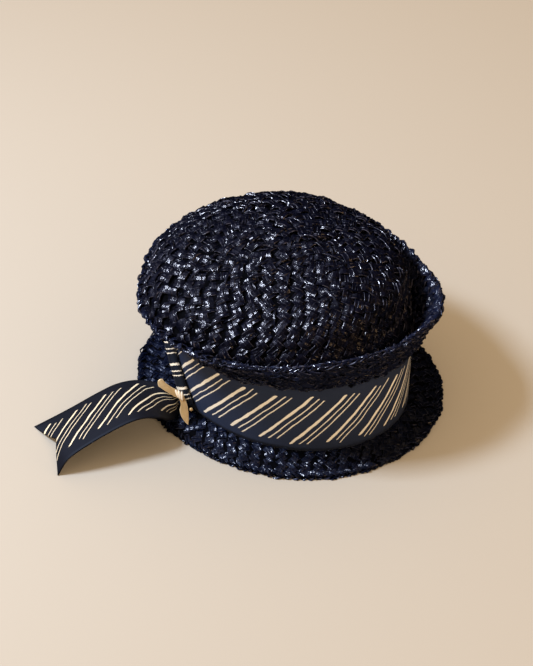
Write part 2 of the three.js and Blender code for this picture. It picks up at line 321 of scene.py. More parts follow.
def mesh_piece(name: str, mesh: Mesh, finish: Material, smooth: bool = True) -> Object:
    """An object for a mesh, dressed and riding on the root body.

    Args:
        name: the piece's name.
        mesh: its mesh, in the frame.
        finish: its material.
        smooth: whether its faces are shaded smooth, not crumpled.

    Returns:
        The new object.
    """
    mesh.name = name
    mesh.polygons.foreach_set("use_smooth", [smooth] * len(mesh.polygons))
    mesh.materials.clear()
    mesh.materials.append(finish)
    piece = linked(name, mesh)
    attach(piece, ROOT)
    return piece


def finished(bm: BMesh) -> Mesh:
    """Turns a bmesh into a mesh.

    Args:
        bm: the bmesh, freed here.

    Returns:
        The mesh, still to be named.
    """
    mesh = bpy.data.meshes.new("mesh")
    bm.to_mesh(mesh)
    bm.free()
    return mesh


def raised(bm: BMesh, faces: list[BMFace], by: Place) -> list[BMFace]:
    """Extrudes faces.

    Args:
        bm: the bmesh that they are in.
        faces: the faces.
        by: how far, along each axis.

    Returns:
        The faces at the new end.
    """
    made = bmesh.ops.extrude_face_region(bm, geom=faces)["geom"]
    verts = [g for g in made if isinstance(g, BMVert)]
    bmesh.ops.translate(bm, vec=by, verts=verts)
    return [g for g in made if isinstance(g, BMFace)]


def above_floor(mesh: Mesh) -> Mesh:
    """Lifts what would reach below the floor just over it.

    Args:
        mesh: the mesh to change.

    Returns:
        The same mesh.
    """
    for vert in mesh.vertices:
        vert.co.z = max(vert.co.z, 0.05 * MM)
    return mesh


def grid_mesh(grid: Array, thick: float, flat: Array | None = None, wrapped: bool = True) -> Mesh:
    """A sheet of even thickness about a grid of points.

    Args:
        grid: points[row, column, xyz] in metres; a wrapped grid doesn't repeat its first column.
        thick: the sheet's thickness.
        flat: the place of each point on the flat cloth, with one more column if wrapped.
        wrapped: whether the last column meets the first.

    Returns:
        A closed mesh.
    """
    rows, columns = grid.shape[:2]
    if wrapped:
        grid = np.concatenate([grid, grid[:, :1]], axis=1)
        columns += 1
    bm = bmesh.new()
    bmesh.ops.create_grid(bm, x_segments=columns - 1, y_segments=rows - 1, size=1.0)
    bm.verts.ensure_lookup_table()
    layer = bm.loops.layers.uv.new("flat") if flat is not None else None
    for index, vert in enumerate(bm.verts):
        row, column = divmod(index, columns)
        vert.co = grid[row, column]
        if layer is not None:
            for loop in vert.link_loops:
                loop[layer].uv = flat[row, column]
    bmesh.ops.remove_doubles(bm, verts=bm.verts, dist=1e-6)
    bmesh.ops.solidify(bm, geom=bm.faces, thickness=thick * MM)
    bmesh.ops.recalc_face_normals(bm, faces=bm.faces)
    return finished(bm)


# --- skins

class Skin:
    """A smooth surface round the head that straws are laid on."""

    def __init__(self, grid: Array) -> None:
        """Keeps the grid with its normals and its speeds.

        Args:
            grid: points[row, column, xyz] in metres, wrapped, with its outside where columns
                run left to right as rows run up.
        """
        self.grid = grid
        self.normal = normals_of(grid)
        self.along = np.concatenate([[0.0], np.cumsum(steps_of(grid).mean(axis=1))])
        self.up_speed = np.linalg.norm(np.gradient(grid, axis=0), axis=2)
        round_step = np.linalg.norm(np.roll(grid, -1, axis=1) - np.roll(grid, 1, axis=1), axis=2) / 2
        self.round_speed = round_step * grid.shape[1]

    @property
    def length(self) -> float:
        """The mean length of the profile, in metres."""
        return float(self.along[-1])

    def row_at(self, along: Array | float) -> Array:
        """The row, with its fraction, that is that many metres along the mean profile."""
        return np.interp(along, self.along, np.arange(len(self.along)))

    def read(self, values: Array, turn: Array, row: Array) -> Array:
        """Values of a grid between its points.

        Args:
            values: an array over rows and columns.
            turn: where round the head, as shares of a turn.
            row: which row, with its fraction.

        Returns:
            The values, interpolated both ways.
        """
        rows, columns = values.shape[:2]
        place = np.mod(turn, 1.0) * columns
        j = np.floor(place).astype(int)
        row = np.clip(row, 0, rows - 1.000001)
        i = np.floor(row).astype(int)
        a, b = place - j, row - i
        if values.ndim == 3:
            a, b = a[..., None], b[..., None]
        j, k = j % columns, (j + 1) % columns
        low = values[i, j] * (1 - a) + values[i, k] * a
        high = values[i + 1, j] * (1 - a) + values[i + 1, k] * a
        return low * (1 - b) + high * b

    def walk(self, turn: Array, row: Array, aside: Array, up: Array) -> tuple[Array, Array]:
        """The place that lies a few millimetres from another.

        Args:
            turn: where each walk starts round the head, one column of places.
            row: the row where it starts.
            aside: metres round the head.
            up: metres along the rows.

        Returns:
            The new turns and rows.
        """
        reached = row + up / self.read(self.up_speed, turn, row)
        return turn + aside / self.read(self.round_speed, turn, row), reached

    def at(self, turn: Array, row: Array, lift: Array) -> Array:
        """Points that stand off the skin by some metres."""
        normal = normalised(self.read(self.normal, turn, row))
        return self.read(self.grid, turn, row) + normal * lift[..., None]

    def girth(self, along: float) -> float:
        """The way round the head at a distance along the profile.

        Args:
            along: metres along the profile.

        Returns:
            The way, in metres.
        """
        samples = 72
        turn = (np.arange(samples) + 0.5) / samples
        return float(self.read(self.round_speed, turn, np.full(samples, self.row_at(along))).mean())


class CapSkin(Skin):
    """A skin that closes at its last row, where the rows shrink to one point."""

    POLAR = 45 * MM  # this close to the closing point, walks are straight on a flat disc

    def walk(self, turn: Array, row: Array, aside: Array, up: Array) -> tuple[Array, Array]:
        """The place that lies a few millimetres from another, also across the top.

        Args:
            turn: where each walk starts round the head, one column of places.
            row: the row where it starts.
            aside: metres round the head.
            up: metres along the rows.

        Returns:
            The new turns and rows.
        """
        plain_turn, plain_row = super().walk(turn, row, aside, up)
        angle = 2 * np.pi * turn
        from_top = self.length - np.interp(row, np.arange(len(self.along)), self.along)
        x = (from_top - up) * np.cos(angle) - aside * np.sin(angle)
        y = (from_top - up) * np.sin(angle) + aside * np.cos(angle)
        polar_turn = np.arctan2(y, x) / (2 * np.pi)
        polar_row = self.row_at(self.length - np.hypot(x, y))
        near = np.broadcast_to(from_top < self.POLAR, polar_row.shape)
        return np.where(near, polar_turn, plain_turn), np.where(near, polar_row, plain_row)


def folded_round(middle: Array, half: float, rim: float) -> Array:
    """The outside of a thick sheet: down one side, round its last row and back up the other.

    Args:
        middle: the sheet's middle, points[row, column, xyz] in metres.
        half: half the sheet's thickness.
        rim: half its thickness at the rim.

    Returns:
        A grid over both sides, the side of the grid's own normals first.
    """
    eased_rows, rim_steps = 5, 8
    normal = normals_of(middle)
    swell = np.clip(np.linspace(1, 0, len(middle)) * len(middle) / eased_rows, 0, 1)[:, None, None]
    off = half * MM * swell + rim * MM * (1 - swell)
    outward = normalised(middle[-1] - middle[-2])
    turns = np.radians(np.linspace(0, 180, rim_steps + 1)[1:-1])[:, None, None]
    edge = middle[-1] + rim * MM * (np.cos(turns) * normal[-1] + np.sin(turns) * outward)
    return np.concatenate([middle + off * normal, edge, (middle - off * normal)[::-1]])


# --- plaiting

@dataclass(frozen=True)
class Weave:
    """How straws lie in one part of the plait."""

    pitch: float          # along a row, from one group of straws to the next
    rise: float           # from one row to the next
    lean: float           # degrees from the row's own direction
    length: float         # of one straw, with its tucked ends
    width: float
    ply: int = 1          # straws side by side in a group
    thick: float = 1.1
    arch: float = 1.0     # how far the middle stands up
    sink: float = 0.9     # how far the ends go down
    lift: float = 0.2
    untidy: float = 1.0
    crease: float = 0.22  # how far the long edges stand up beside the folds


class Straw:
    """The straw that every plait repeats: a short closed tube of unit size along x."""

    RINGS = 5
    SIDES = 8

    @classmethod
    def mesh(cls) -> Mesh:
        """The unit straw.

        Returns:
            A mesh from -1 to 1 along x and of radius 1.
        """
        bm = bmesh.new()
        turned = Matrix.Translation((-1, 0, 0)) @ Matrix.Rotation(math.radians(-90), 4, "Y")
        bmesh.ops.create_circle(bm, cap_ends=True, segments=cls.SIDES, radius=1.0, matrix=turned)
        end = bm.faces[:]
        for ring in range(cls.RINGS):
            last, end = end, raised(bm, end, (2 / cls.RINGS, 0, 0))
            walls = [face for face in last if face.is_valid and ring > 0]
            if walls:
                bmesh.ops.delete(bm, geom=walls, context="FACES_ONLY")
        bmesh.ops.recalc_face_normals(bm, faces=bm.faces)
        bm.loops.layers.uv.new("flat")
        return finished(bm)

    @classmethod
    def many(cls, count: int) -> tuple[Array, Mesh]:
        """Copies of the straw.

        Args:
            count: how many.

        Returns:
            The points of one straw, and a mesh that holds that many, one after another.
        """
        scratch = linked("scratch", cls.mesh())
        array = scratch.modifiers.new("repeat", "ARRAY")
        array.count = count
        array.use_relative_offset = False
        array.use_constant_offset = True
        array.constant_offset_displace = (3.0, 0.0, 0.0)
        unit = np.array([v.co for v in scratch.data.vertices])
        bpy.context.view_layer.update()
        graph = bpy.context.evaluated_depsgraph_get()
        mesh = bpy.data.meshes.new_from_object(scratch.evaluated_get(graph))
        bpy.data.objects.remove(scratch)
        return unit, mesh


class Plait:
    """Straws laid on a skin, row by row, and joined as one mesh."""

    SPREAD = {            # how much straws differ: sizes as shares, the others as they are
        "lean": 0.10, "offset": 0.25, "length": 0.09, "width": 0.13, "thick": 0.15, "arch": 0.30,
        "lift": 0.16, "tilt": 0.16, "twist": 0.20, "bend": 0.35,
    }
    CRUMPLE = (0.05, 0.22)
    CREASE = (0.2, 1.8)
    ALONG_ROW = 0.06      # how much groups stray along their row, as a share of its pitch
    ACROSS_ROW = 0.035    # and across it, as a share of its rise
    PLY_STEP = 0.92       # from one straw of a group to the next, as a share of its width
    APART = (17.0, 9.0)   # from one straw to the next on the flat map
    LUMP = 0.24           # height of each wave of the plait's slow unevenness

    def __init__(self, skin: Skin, seed: int) -> None:
        """Starts an empty plait.

        Args:
            skin: what the straws lie on.
            seed: sets every random choice in this plait.
        """
        self.skin = skin
        self.random = np.random.default_rng(seed)
        self.straws: list[dict[str, Array]] = []

    def lay(self, turn: Array, along: Array, lean: Array, offset: float, weave: Weave) -> None:
        """Lays straws at given places.

        Args:
            turn: where the middle of each straw is round the head.
            along: and how many metres along the profile.
            lean: each straw's direction, in radians from the row's own.
            offset: how far each lies beside its place.
            weave: sizes that they share.
        """
        count, random = len(turn), self.random

        def stray(key: str) -> Array:
            """How far each straw is from the usual value."""
            return weave.untidy * random.normal(0, self.SPREAD[key], count)

        straws = {"turn": turn, "along": along}
        straws["lean"] = lean + stray("lean")
        straws["offset"] = offset + stray("offset")
        for key in ("length", "width", "thick", "arch"):
            straws[key] = getattr(weave, key) * (1 + stray(key))
        straws["sink"] = np.full(count, weave.sink)
        straws["lift"] = weave.lift + stray("lift")
        for key in ("tilt", "twist", "bend"):
            straws[key] = stray(key)
        straws["crumple"] = weave.untidy * random.uniform(*self.CRUMPLE, count)
        for key in ("phase", "other"):
            straws[key] = random.uniform(0, 2 * np.pi, count)
        straws["crease"] = weave.crease * random.uniform(*self.CREASE, count)
        straws["tone"] = random.uniform(0, 1, count)
        self.straws.append(straws)

    def row(self, along: float, weave: Weave, way: int, start: float = 0.0) -> None:
        """Lays one row of straws right round the head.

        Args:
            along: how many metres along the profile.
            weave: how its straws lie.
            way: 1 if they lean forwards, -1 if they lean back.
            start: where the first group lies, as a share of the pitch.
        """
        count = max(5, round(self.skin.girth(along) / (weave.pitch * MM)))
        loose = weave.untidy
        turn = (np.arange(count) + start + loose * self.random.normal(0, self.ALONG_ROW, count)) / count
        place = along + loose * self.random.normal(0, self.ACROSS_ROW * weave.rise, count) * MM
        lean = np.full(count, way * math.radians(weave.lean))
        for k in range(weave.ply):
            self.lay(turn, place, lean, (k - (weave.ply - 1) / 2) * weave.width * self.PLY_STEP, weave)

    def rows(self, along: float, weave: Weave, way: int, margin: float) -> None:
        """Lays rows from one place on to the skin's end or start.

        Args:
            along: metres along the profile to the first row.
            weave: how their straws lie.
            way: 1 towards the skin's end, -1 towards its start.
            margin: how far from there the rows stop.
        """
        k = 0
        while margin * MM < along < self.skin.length - margin * MM:
            self.row(along, weave, way * (-1) ** k, 0.5 * k)
            along, k = along + way * weave.rise * MM, k + 1

    def keep(self, rule: Callable[[Array, Array], Array]) -> None:
        """Drops the straws that a rule rejects.

        Args:
            rule: says for turns and heights which straws stay.
        """
        for straws in self.straws:
            row = self.skin.row_at(straws["along"])
            height = self.skin.read(self.skin.grid, straws["turn"], row)[:, 2] / MM
            stays = rule(straws["turn"], height)
            for key in straws:
                straws[key] = straws[key][stays]

    def mesh(self) -> Mesh:
        """Joins all the straws.

        Returns:
            One mesh with a closed shell for each straw, a UV map in millimetres, each straw's tone
            and how near each point is to its straw's edges.
        """
        table = {key: np.concatenate([s[key] for s in self.straws])[:, None] for key in self.straws[0]}
        unit, mesh = Straw.many(len(table["turn"]))
        points, across = self.shaped(unit, table)
        mesh.vertices.foreach_set("co", points.reshape(-1).astype(np.float32))
        loops = np.zeros(len(mesh.loops), np.int32)
        mesh.loops.foreach_get("vertex_index", loops)
        index = np.arange(len(points))[:, None]
        u = (unit[None, :, 0] + 1) / 2 * table["length"] + self.APART[0] * index
        v = across + self.APART[1] * index
        flat = np.stack([u.reshape(-1)[loops], v.reshape(-1)[loops]], axis=1)
        mesh.uv_layers["flat"].data.foreach_set("uv", flat.reshape(-1).astype(np.float32))
        for key, value in (("tone", table["tone"]), ("edge", np.abs(unit[None, :, 1]))):
            attribute = mesh.attributes.new(key, "FLOAT", "POINT")
            spread = np.broadcast_to(value, points.shape[:2])
            attribute.data.foreach_set("value", spread.reshape(-1).astype(np.float32))
        mesh.update()
        return mesh

    def lumps(self, turn: Array, share: Array) -> Array:
        """Slow unevenness of the plait.

        Args:
            turn: where round the head.
            share: how far along the profile, from 0 to 1.

        Returns:
            How much further each straw stands out.
        """
        total = np.zeros(np.broadcast(turn, share).shape)
        for waves, rows in ((5, 3.1), (9, 5.3), (14, 7.9), (23, 11.7), (31, 17.3)):
            phase, other = np.random.default_rng(waves).uniform(0, 2 * np.pi, 2)
            total += self.LUMP * np.sin(2 * np.pi * waves * turn + 4 * np.sin(rows * share + other) + phase)
        return total

    def shaped(self, unit: Array, t: dict[str, Array]) -> tuple[Array, Array]:
        """Gives each straw its own form on the skin.

        Args:
            unit: the unit straw's points.
            t: the straws' values, one row each.

        Returns:
            Points[straw, point, xyz] in metres, and how far across its straw each point is.
        """
        x, y, z = unit[None, :, 0], unit[None, :, 1], unit[None, :, 2]
        ends = np.abs(x) ** 3
        narrower, thinner, blunt = 0.35, 0.3, 0.6
        across = np.sign(y) * np.abs(y) ** blunt * t["width"] / 2 * (1 - narrower * ends)
        long = x * t["length"] / 2
        wave = t["crumple"] * (np.sin(2.6 * x + t["phase"]) * np.cos(1.7 * y + t["other"])
                               + 0.6 * np.sin(5.1 * x + 2.2 * y + t["other"]))
        on_top, on_edge = z > 0.2, np.abs(y) > 0.6
        crease = t["crease"] * np.where(on_edge, 1.0, -0.3 + 0.5 * np.sin(t["other"])) * on_top
        lump = self.lumps(t["turn"], self.skin.row_at(t["along"]) / len(self.skin.along))
        height = (t["lift"] + lump + t["arch"] * (1 - x**2) - t["sink"] * ends
                  + z * t["thick"] / 2 * (1 - thinner * ends) + crease + wave
                  + (t["tilt"] + 0.22 * lump + t["twist"] * x) * across)
        side = across + t["offset"] + t["bend"] * (x**2 - 0.3)
        c, s = np.cos(t["lean"]), np.sin(t["lean"])
        turn, row = self.skin.walk(t["turn"], self.skin.row_at(t["along"]),
                                   (c * long - s * side) * MM, (s * long + c * side) * MM)
        return self.skin.at(turn, row, height * MM), across


# --- finishes

class Nodes:
    """Short names for making a material's nodes."""

    def __init__(self, name: str) -> None:
        """Starts a material with a Principled shader.

        Args:
            name: the material's name.
        """
        self.material = bpy.data.materials.new(name)
        self.material.use_nodes = True
        self.tree = self.material.node_tree

    def put(self, socket: NodeSocket, value: Value) -> None:
        """Links a socket to an output, or sets its value.

        Args:
            socket: a node's input.
            value: another node's output, or a number, place or colour.
        """
        if isinstance(value, NodeSocket):
            self.tree.links.new(value, socket)
        else:
            socket.default_value = value

    def dress(self, **values: Value) -> Material:
        """Sets or links the shader's sockets.

        Args:
            values: for each socket, with underscores for the spaces in its name, what it gets.

        Returns:
            The material.
        """
        shader = self.tree.nodes["Principled BSDF"]
        for name, value in values.items():
            self.put(shader.inputs[name.replace("_", " ")], value)
        return self.material

    def node(self, kind: str, inputs: dict[int | str, Value], output: int | str = 0,
             **settings: str) -> NodeSocket:
        """Adds a node.

        Args:
            kind: its type.
            inputs: what its sockets are given, by number or name.
            output: the number or name of its output.
            settings: its own choices.

        Returns:
            The output.
        """
        node = self.tree.nodes.new("ShaderNode" + kind)
        for name, value in settings.items():
            setattr(node, name, value)
        for socket, value in inputs.items():
            self.put(node.inputs[socket], value)
        return node.outputs[output]

    def math(self, operation: str, *values: Value) -> NodeSocket:
        """A Math node's output."""
        return self.node("Math", dict(enumerate(values)), operation=operation)

    def plus(self, first: Value, second: Value) -> NodeSocket:
        """A sum."""
        return self.math("ADD", first, second)

    def minus(self, first: Value, second: Value) -> NodeSocket:
        """A difference."""
        return self.math("SUBTRACT", first, second)

    def times(self, first: Value, second: Value) -> NodeSocket:
        """A product."""
        return self.math("MULTIPLY", first, second)

    def smooth(self, value: Value, low: float, high: float, first: float = 0.0,
               last: float = 1.0) -> NodeSocket:
        """A smooth step of a value, from first at low to last at high."""
        inputs = dict(enumerate((value, low, high, first, last)))
        return self.node("MapRange", inputs, interpolation_type="SMOOTHSTEP")

    def mix(self, factor: Value, first: Value, second: Value) -> NodeSocket:
        """A mix of two colours."""
        return self.node("Mix", {0: factor, 6: first, 7: second}, 2, data_type="RGBA")

    def flat(self) -> NodeSocket:
        """The piece's own map, in millimetres."""
        return self.node("UVMap", {}, uv_map="flat")

    def place(self) -> NodeSocket:
        """Object coordinates, in metres."""
        return self.node("TexCoord", {}, "Object")

    def attribute(self, name: str) -> NodeSocket:
        """A number that the mesh carries."""
        return self.node("Attribute", {}, "Fac", attribute_name=name)

    def split(self, vector: Value) -> tuple[NodeSocket, NodeSocket]:
        """The first two numbers of a vector."""
        outputs = self.node("SeparateXYZ", {0: vector}).node.outputs
        return outputs[0], outputs[1]

    def noise(self, vector: Value, stretch: Place = (1, 1, 1), detail: float = 3.0,
              rough: float = 0.55, scale: float = 1.0) -> NodeSocket:
        """A noise texture's value, about 0.5 on the whole."""
        moved = self.node("Mapping", {"Vector": vector, "Scale": stretch})
        return self.node("TexNoise", {"Vector": moved, "Scale": scale, "Detail": detail, "Roughness": rough})

    def random(self, value: Value) -> NodeSocket:
        """A random number from 0 to 1 for each number."""
        return self.node("TexWhiteNoise", {"W": value}, noise_dimensions="1D")

    def bump(self, height: Value, strength: float, distance: float, **under: Value) -> NodeSocket:
        """A bumped normal, on top of another one that is given as Normal."""
        sizes = {"Strength": strength, "Distance": distance * MM}
        return self.node("Bump", {**sizes, "Height": height, **under})


def brighter(colour: Colour, by: float) -> Colour:
    """A colour that reflects so many times the light."""
    return tuple(by * part for part in colour[:3]) + (1,)


@dataclass(frozen=True)
class StrawFinish:
    """Lacquered near-black navy straw with fine fibres along it and a painted highlight along each straw's
    long edges.
    """

    name: str
    deep: Colour = (0.0003, 0.0008, 0.0042, 1)
    pale: Colour = (0.0024, 0.0036, 0.0145, 1)
    # painted highlight: the paler colour laid on the straws' long edges
    edge: Colour = (0.070, 0.074, 0.108, 1)
    sheen: Colour = (0.85, 0.82, 1.0, 1)
    gloss: float = 0.34
    coat: float = 0.95
    dull_coat: float = 0.15
    shiny_side: float | None = None  # degrees round the hat to the middle of the only glossy part

    def make(self) -> Material:
        """Makes the straw's material.

        Returns:
            The material.
        """
        n = Nodes(self.name)
        flat = n.flat()
        strands = n.noise(flat, (0.07, 1.1, 1), 2.0, 0.5)
        fibres = n.noise(flat, (0.20, 2.2, 1), 3.0, 0.6)
        folds = n.noise(flat, (0.34, 0.30, 1), 2.0)
        amount = n.plus(n.times(n.attribute("tone"), 0.55), n.times(n.smooth(fibres, 0.35, 0.7), 0.45))
        # Painted highlight on each straw's long edges, broken up by the folds.
        split = n.times(n.smooth(n.attribute("edge"), 0.62, 0.84), n.smooth(folds, 0.42, 0.66))
        ridged = n.bump(strands, 1.0, 0.36, Normal=n.bump(folds, 1.0, 0.5))
        return n.dress(Base_Color=n.mix(split, n.mix(amount, self.deep, self.pale), self.edge),
                       Roughness=n.plus(self.gloss, n.times(folds, 0.12)),
                       Normal=n.bump(fibres, 1.0, 0.12, Normal=ridged), Coat_Normal=ridged,
                       Specular_IOR_Level=0.40, Specular_Tint=self.sheen, Coat_Roughness=0.125,
                       Coat_IOR=1.5, Coat_Weight=self.coat_weight(n))

    def coat_weight(self, n: Nodes) -> Value:
        """How thick the lacquer is.

        Args:
            n: the material's nodes.

        Returns:
            One number, or one that falls off away from the shiny side.
        """
        if self.shiny_side is None:
            return self.coat
        turn, middle = math.radians(self.shiny_side), head_middle()
        x, y = n.split(n.place())
        ahead = n.plus(n.times(n.minus(x, middle.x), math.cos(turn)),
                       n.times(n.minus(y, middle.y), math.sin(turn)))
        return n.smooth(ahead, -20 * MM, 100 * MM, self.dull_coat, self.coat)


@dataclass(frozen=True)
class PaintedShadeBackingFinish:
    """The backing that shows between the straws, near black and without shine as painted shade in the gaps.
    """

    name: str = "straw_backing_painted_shade"
    # painted shade: near-black colours that stand for the shaded gaps between the straws
    dark: Colour = (0.0002, 0.0003, 0.0010, 1)
    light: Colour = (0.0010, 0.0012, 0.0030, 1)

    def make(self) -> Material:
        """Makes the backing's material, once for all that have it.

        Returns:
            The material.
        """
        if self.name in bpy.data.materials:
            return bpy.data.materials[self.name]
        n = Nodes(self.name)
        weave = n.noise(n.place(), scale=420.0)
        return n.dress(Base_Color=n.mix(n.smooth(weave, 0.4, 0.7), self.dark, self.light),
                       Normal=n.bump(weave, 0.6, 0.6), Roughness=0.8, Specular_IOR_Level=0.05)


@dataclass(frozen=True)
class RibbonFinish:
    """A dark slate ribbon with woven ribs and slanted stripes in threes."""

    name: str
    pitch: float = 25.56         # from one group of stripes to the next, along the ribbon
    slope: float = 49.0          # degrees between a stripe and the ribbon's length
    start: float = 0.0           # where a broad stripe crosses the ribbon's middle
    low: float = 8.5             # where stripes begin and end across the ribbon
    high: float = 52.0
    broad: float = 1.05          # half the broad stripe's width
    thin: float = 0.43
    second: float = 6.6          # from the broad stripe to the thin ones
    third: float = 12.0
    cloth: Colour = (0.0180, 0.0270, 0.0590, 1)
    print_colour: Colour = (1.0, 0.97, 0.82, 1)
    sheen: float = 0.03
    rib: float = 0.9
    waver: float = 3.2           # how far stripes stray from a straight line
    uneven: float = 4.0          # how much their ends differ

    def make(self) -> Material:
        """Makes the ribbon's material.

        Returns:
            The material.
        """
        n = Nodes(self.name)
        flat = n.flat()
        u, v = n.split(flat)
        ribs = n.math("SINE", n.times(u, 2 * math.pi / self.rib))
        drift = n.noise(flat, (0.05, 0.05, 1), 2.0)
        wavering = n.math("MULTIPLY_ADD", n.minus(drift, 0.5), self.waver, n.math("SNAP", u, self.rib / 2))
        slant = math.radians(self.slope)
        run = n.minus(wavering, n.math("DIVIDE", n.minus(v, RIBBON_WIDTH / 2), math.tan(slant)))
        back = self.pitch * 0.2  # how far ahead of its broad stripe a group begins
        moved = n.plus(n.minus(run, self.start), back)
        group = n.math("FLOOR", n.math("DIVIDE", moved, self.pitch))
        inside = n.minus(n.minus(moved, n.times(group, self.pitch)), back)
        printed = 0.0
        for index, (place, half) in enumerate(((0.0, self.broad), (self.second, self.thin),
                                               (self.third, self.thin))):
            key = n.math("MULTIPLY_ADD", group, 3.0, index + 0.5)
            low, high = (n.math("MULTIPLY_ADD", n.random(chance), self.uneven, end - self.uneven / 2)
                         for chance, end in ((key, self.low), (n.plus(key, 0.31), self.high)))
            beyond = n.math("MAXIMUM", n.math("MAXIMUM", n.minus(low, v), n.minus(v, high)), 0.0)
            aside = n.times(n.math("ABSOLUTE", n.minus(inside, place)), math.sin(slant))
            far = n.math("SQRT", n.plus(n.times(aside, aside), n.times(beyond, beyond)))
            hand = n.noise(flat, (0.09, 0.09, 1), 1.0, scale=1.0 + 0.3 * index)
            width = n.times(n.math("MULTIPLY_ADD", hand, 0.9, 0.55), half)
            line = n.smooth(n.minus(far, width), -0.05, 0.05, 1.0, 0.0)
            printed = n.math("MAXIMUM", printed, line)
        printed = n.times(printed, n.math("MULTIPLY_ADD", ribs, 0.03, 0.97))
        cloth = n.mix(n.noise(flat, (0.03, 0.03, 1)), self.cloth, brighter(self.cloth, 1.5))
        weave = n.noise(flat, (1.2, 3.5, 1), 2.0)
        height = n.plus(n.times(ribs, 0.3), n.plus(weave, n.times(printed, 0.8)))
        return n.dress(Base_Color=n.mix(printed, cloth, self.print_colour),
                       Roughness=n.math("MULTIPLY_ADD", printed, -0.15, 0.68),
                       Normal=n.bump(height, 0.35, 0.12), Sheen_Weight=self.sheen, Sheen_Roughness=0.4,
                       Sheen_Tint=(0.7, 0.8, 1.0, 1), Specular_Tint=(0.62, 0.76, 1.0, 1))


@dataclass(frozen=True)
class GiltFinish:
    """Worn gilt with a stippled face and paler edges, which are partly rubbed wear and partly a painted
    highlight.
    """

    name: str = "gilt"
    face: Colour = (0.40, 0.235, 0.066, 1)
    # paler colour on the rounded edges: rubbed wear and a painted highlight
    edge: Colour = (0.92, 0.76, 0.46, 1)
    metal: float = 0.35

    def make(self) -> Material:
        """Makes the gilt's material.

        Returns:
            The material.
        """
        n = Nodes(self.name)
        pits = n.noise(n.place(), detail=2.0, scale=1500.0)
        patches = n.noise(n.place(), scale=260.0)
        # Paler on the rounded edges: partly rubbed wear, partly a painted highlight.
        rubbed_edge_highlight = n.smooth(n.node("NewGeometry", {}, "Pointiness"), 0.50, 0.56)
        colour = n.mix(n.smooth(patches, 0.35, 0.7), self.face, brighter(self.face, 1.25))
        return n.dress(Base_Color=n.mix(rubbed_edge_highlight, colour, self.edge), Metallic=self.metal,
                       Roughness=n.math("MULTIPLY_ADD", patches, 0.25, 0.30), Normal=n.bump(pits, 0.5, 0.25))


@dataclass(frozen=True)
class FloorFinish:
    """A plain pale studio floor."""

    name: str = "studio_floor"
    colour: Colour = (0.480, 0.478, 0.427, 1)

    def make(self) -> Material:
        """The floor's material."""
        return Nodes(self.name).dress(Base_Color=self.colour, Roughness=0.85, Specular_IOR_Level=0.1)


# --- crown

